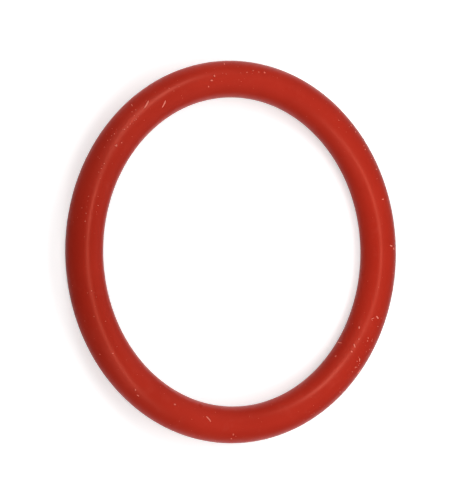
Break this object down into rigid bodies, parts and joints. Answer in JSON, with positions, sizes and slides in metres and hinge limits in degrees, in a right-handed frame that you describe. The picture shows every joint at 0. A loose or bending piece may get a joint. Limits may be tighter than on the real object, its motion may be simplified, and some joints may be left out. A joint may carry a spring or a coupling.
{
  "type": "silicone o-ring",
  "caption": "Red silicone O-ring, 25 mm bore by 3 mm section: one moulded ring of plain round section, lying flat, for a static or slow-moving seal.",
  "frame": {"origin": "the ring's centre, on its axis and halfway through its thickness", "axes": "+Z runs along the ring's axis, and X and Y lie in the plane of the ring, which lies flat"},
  "size_m": [0.031, 0.031, 0.003],
  "materials": {
    "red_silicone": "satin"
  },
  "bodies": {
    "root": {"o_ring": "red_silicone"}
  },
  "joints": []
}
